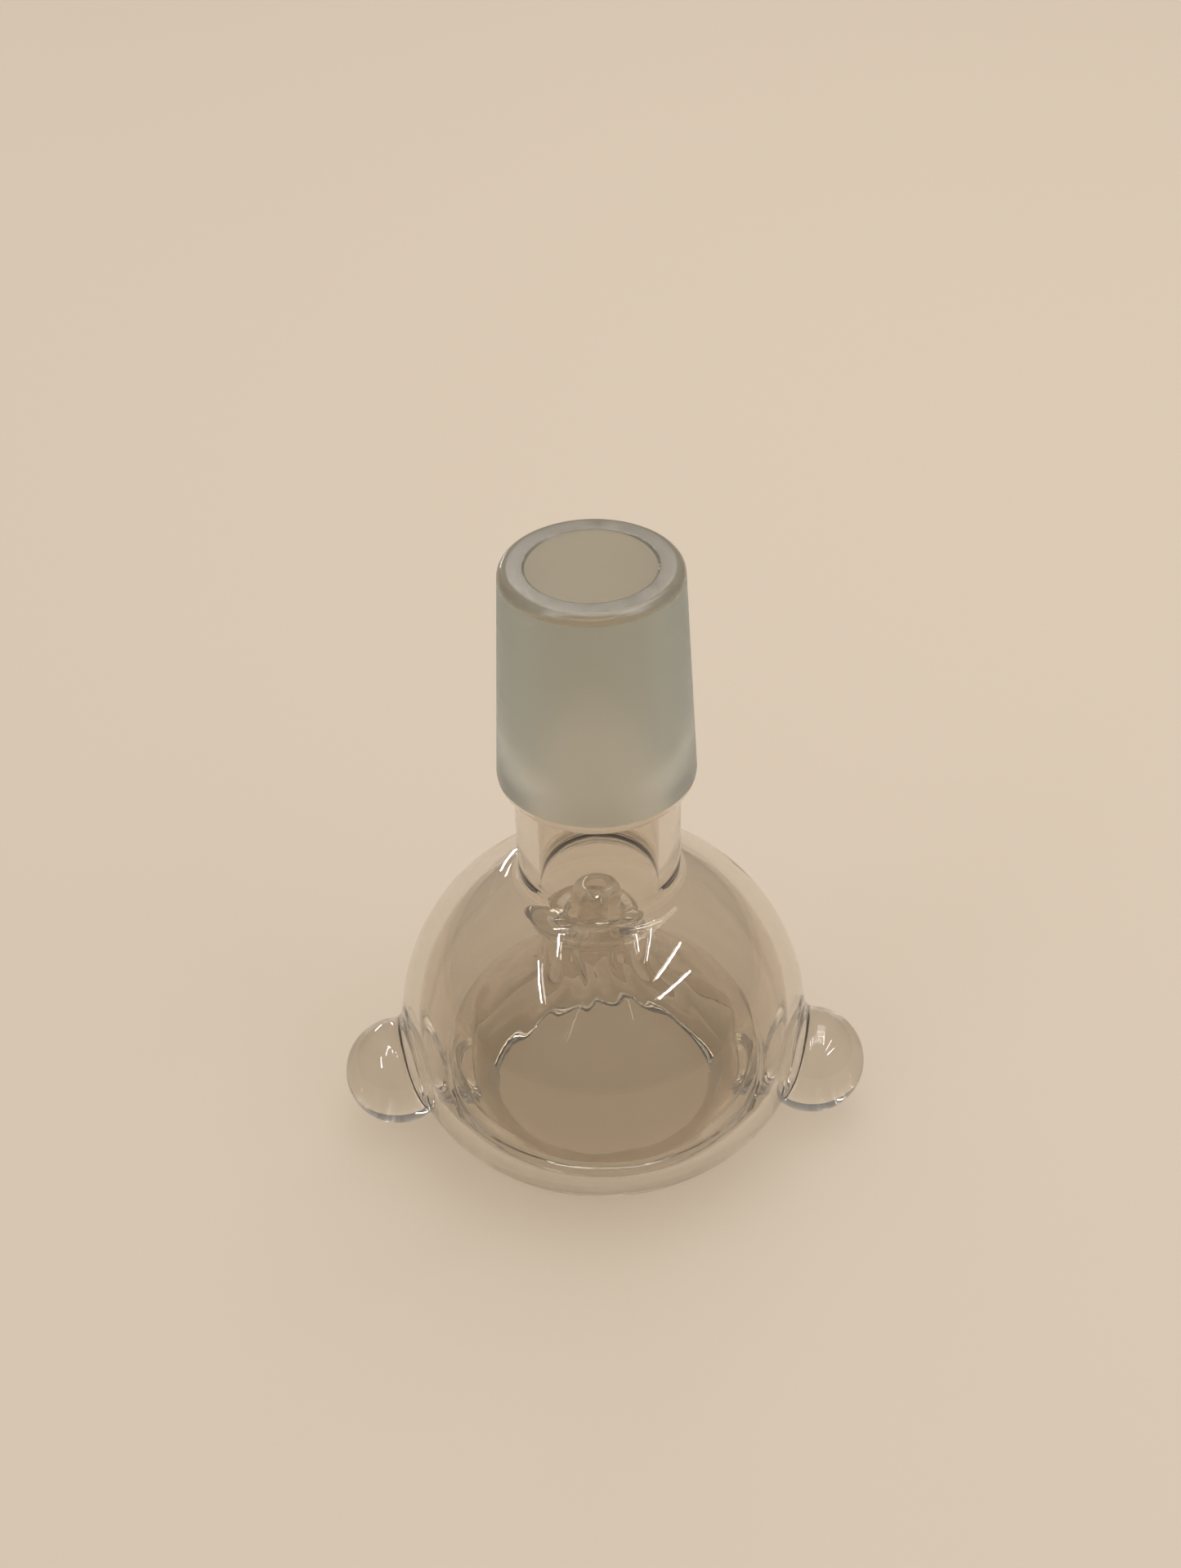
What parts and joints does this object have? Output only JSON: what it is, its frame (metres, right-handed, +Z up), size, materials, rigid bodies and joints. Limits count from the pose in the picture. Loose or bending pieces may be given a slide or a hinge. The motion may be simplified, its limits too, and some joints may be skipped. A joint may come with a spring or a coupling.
{
  "type": "ground joint glass bowl",
  "caption": "Clear lampworked glass bowl: a double-walled round cup with solid marble grips and a frosted male taper joint that seats in a matching ground socket.",
  "frame": {"origin": "centre of the circle on which the folded rim stands, on the surface it rests on", "axes": "+Z up the common axis of cup, bulb, neck and ground joint, +X towards the right marble, -Y towards the side on which the marbles sit slightly forward"},
  "size_m": [0.0536, 0.0414, 0.0652],
  "materials": {
    "clear_glass": "clear flame-polished borosilicate glass",
    "ground_glass": "borosilicate glass with a finely ground frosted taper"
  },
  "bodies": {
    "root": {"ground_joint": "ground_glass", "neck_tube": "clear_glass", "neck_seal": "clear_glass", "outer_bulb": "clear_glass", "cup_rim": "clear_glass", "inner_cup": "clear_glass", "throat_collar": "clear_glass", "outlet_nipple": "clear_glass", "left_marble": "clear_glass", "right_marble": "clear_glass", "left_marble_weld": "clear_glass", "right_marble_weld": "clear_glass"}
  },
  "joints": []
}
